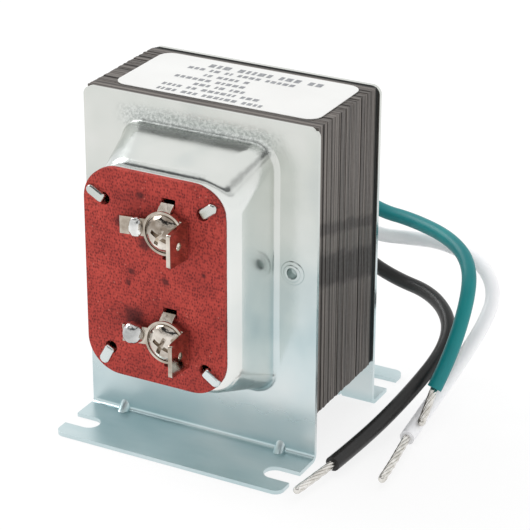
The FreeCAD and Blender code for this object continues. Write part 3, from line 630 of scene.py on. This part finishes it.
form = bmesh.new()
outline = []
for sx, sy, start in ((1, 1, 0), (-1, 1, 90), (-1, -1, 180), (1, -1, 270)):
    for step in range(9):
        angle = math.radians(start + step * 90 / 8)
        across = sx * (LABEL_LENGTH / 2 - LABEL_CORNER) + LABEL_CORNER * math.cos(angle)
        along = sy * (LABEL_DEPTH / 2 - LABEL_CORNER) + LABEL_CORNER * math.sin(angle)
        spot = (LABEL_CENTRE[0] + across, LABEL_CENTRE[1] + along, CORE_TOP)
        outline.append(form.verts.new([c * MM for c in spot]))
sheet = form.faces.new(outline)
raised = bmesh.ops.extrude_face_region(form, geom=[sheet])["geom"]
top_verts = [v for v in raised if isinstance(v, bmesh.types.BMVert)]
bmesh.ops.translate(form, verts=top_verts, vec=(0, 0, FILM * MM))
top_edges = [e for e in raised if isinstance(e, bmesh.types.BMEdge)]
bmesh.ops.recalc_face_normals(form, faces=form.faces)
round_edges(form, top_edges, 0.04)
letters = random.Random(3)
for row_start, row_end, row_y, tall in printed_rows:
    spot = row_start
    while spot < row_end:
        for dash in range(letters.randint(2, 6)):
            wide = tall * letters.uniform(0.4, 0.9)
            if spot + wide > row_end:
                break
            low_y = LABEL_CENTRE[1] + row_y - tall / 2
            low_x = LABEL_CENTRE[0] + spot
            height = CORE_TOP + FILM + INK
            corners = [(low_x, low_y), (low_x + wide, low_y), (low_x + wide, low_y + tall),
                       (low_x, low_y + tall)]
            patch = form.faces.new([form.verts.new((cx * MM, cy * MM, height * MM)) for cx, cy in corners])
            patch.material_index = 1
            spot += wide + tall * 0.3
        spot += tall * 0.7
label = new_piece("label", form, label_film, smooth=False)
label.data.materials.append(label_ink)
hand_over(label, "rating_label")

# %% [markdown]
# ### Hidden pieces
# The coil with its bobbin and tape, and the short secondary wires behind the board, keep the
# frame's own shape and only get their materials.

# %% Nodes that keep their frame shape
kept = {
    "bobbin": bobbin_nylon,
    "primary_winding": copper,
    "secondary_winding": copper,
    "coil_wrap": coil_tape,
    "upper_secondary_lead": tinned,
    "lower_secondary_lead": tinned,
}
for node_name, material in kept.items():
    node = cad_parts[node_name]
    node.data.materials.clear()
    node.data.materials.append(material)

# %% [markdown]
# ## Floor and light
# The transformer stands on white paper with white all round, as in a light tent. The paper is
# lit until it is almost white in the picture, so part of what the camera and the mirrors see
# of it is plain white, and the rest keeps the shadow.

# %% Floor
def seen_directly(tree):
    """1 for camera, mirror and transmission rays, 0 for the rays that light the object."""
    rays = add(tree, "ShaderNodeLightPath")
    seen = calc(tree, "MAXIMUM", rays.outputs["Is Camera Ray"], rays.outputs["Is Glossy Ray"])
    return calc(tree, "MAXIMUM", seen, rays.outputs["Is Transmission Ray"])


floor_paint, tree, shader, place = finish("white paper", roughness=0.9, ior=1.4)
tone = noise(tree, place, 500, 2.0)
plug(tree, shader, base_color=ramp(tree, tone, [(0.3, "#FDFDFD"), (0.7, "#FFFFFF")]))
glow = add(tree, "ShaderNodeEmission", {"Strength": 1.0})
share = times(tree, seen_directly(tree), 0.82)
both = add(tree, "ShaderNodeMixShader", {0: share, 1: shader.outputs[0], 2: glow.outputs[0]})
tree.links.new(both.outputs[0], tree.nodes["Material Output"].inputs["Surface"])
form = bmesh.new()
bmesh.ops.create_grid(form, x_segments=1, y_segments=1, size=3.0)
mesh = bpy.data.meshes.new("floor")
form.to_mesh(mesh)
form.free()
mesh.materials.append(floor_paint)
floor = bpy.data.objects.new("floor", mesh)
floor.location.z = -0.02 * MM
bpy.context.scene.collection.objects.link(floor)

# %% [markdown]
# High in front, the tent has two dark slits between its cloths. The dome's rounded edges
# mirror them as thin dark lines. One soft lamp stands high on the left.

# %% Light
scene = bpy.context.scene
scene.view_settings.view_transform = "Standard"
world = bpy.data.worlds.new("white studio")
scene.world = world
world.use_nodes = True
tree = world.node_tree
sky = tree.nodes["Background"]
heading = add(tree, "ShaderNodeTexCoord").outputs["Generated"]
x, y, z = add(tree, "ShaderNodeSeparateXYZ", {0: heading}).outputs
bars = ramp(tree, z, [(0.50, "#000000"), (0.54, "#D0D0D0"), (0.58, "#D0D0D0"), (0.62, "#000000"),
                      (0.67, "#000000"), (0.71, "#FFFFFF"), (0.83, "#FFFFFF"), (0.88, "#000000")])
front = spread(tree, y, 1.0, 0.0, 0.10, 0.32)
shade = blend(tree, times(tree, front, bars), linear("#FFFFFF"), linear("#3A3D40"))
tree.links.new(shade, sky.inputs["Color"])
tree.links.new(spread(tree, seen_directly(tree), 1.25, 1.0), sky.inputs["Strength"])


def soft_lamp(name, spot, target, size, watts):
    """A square lamp that faces a target. Places are in metres."""
    data = bpy.data.lights.new(name, "AREA")
    data.size = size
    data.energy = watts
    lamp = bpy.data.objects.new(name, data)
    lamp.location = spot
    lamp.rotation_euler = (Vector(target) - Vector(spot)).to_track_quat("-Z", "Y").to_euler()
    bpy.context.scene.collection.objects.link(lamp)
    return lamp


soft_lamp("key", (-1.05, 0.14, 0.91), (0, 0, 0.04), 0.7, 10.0)
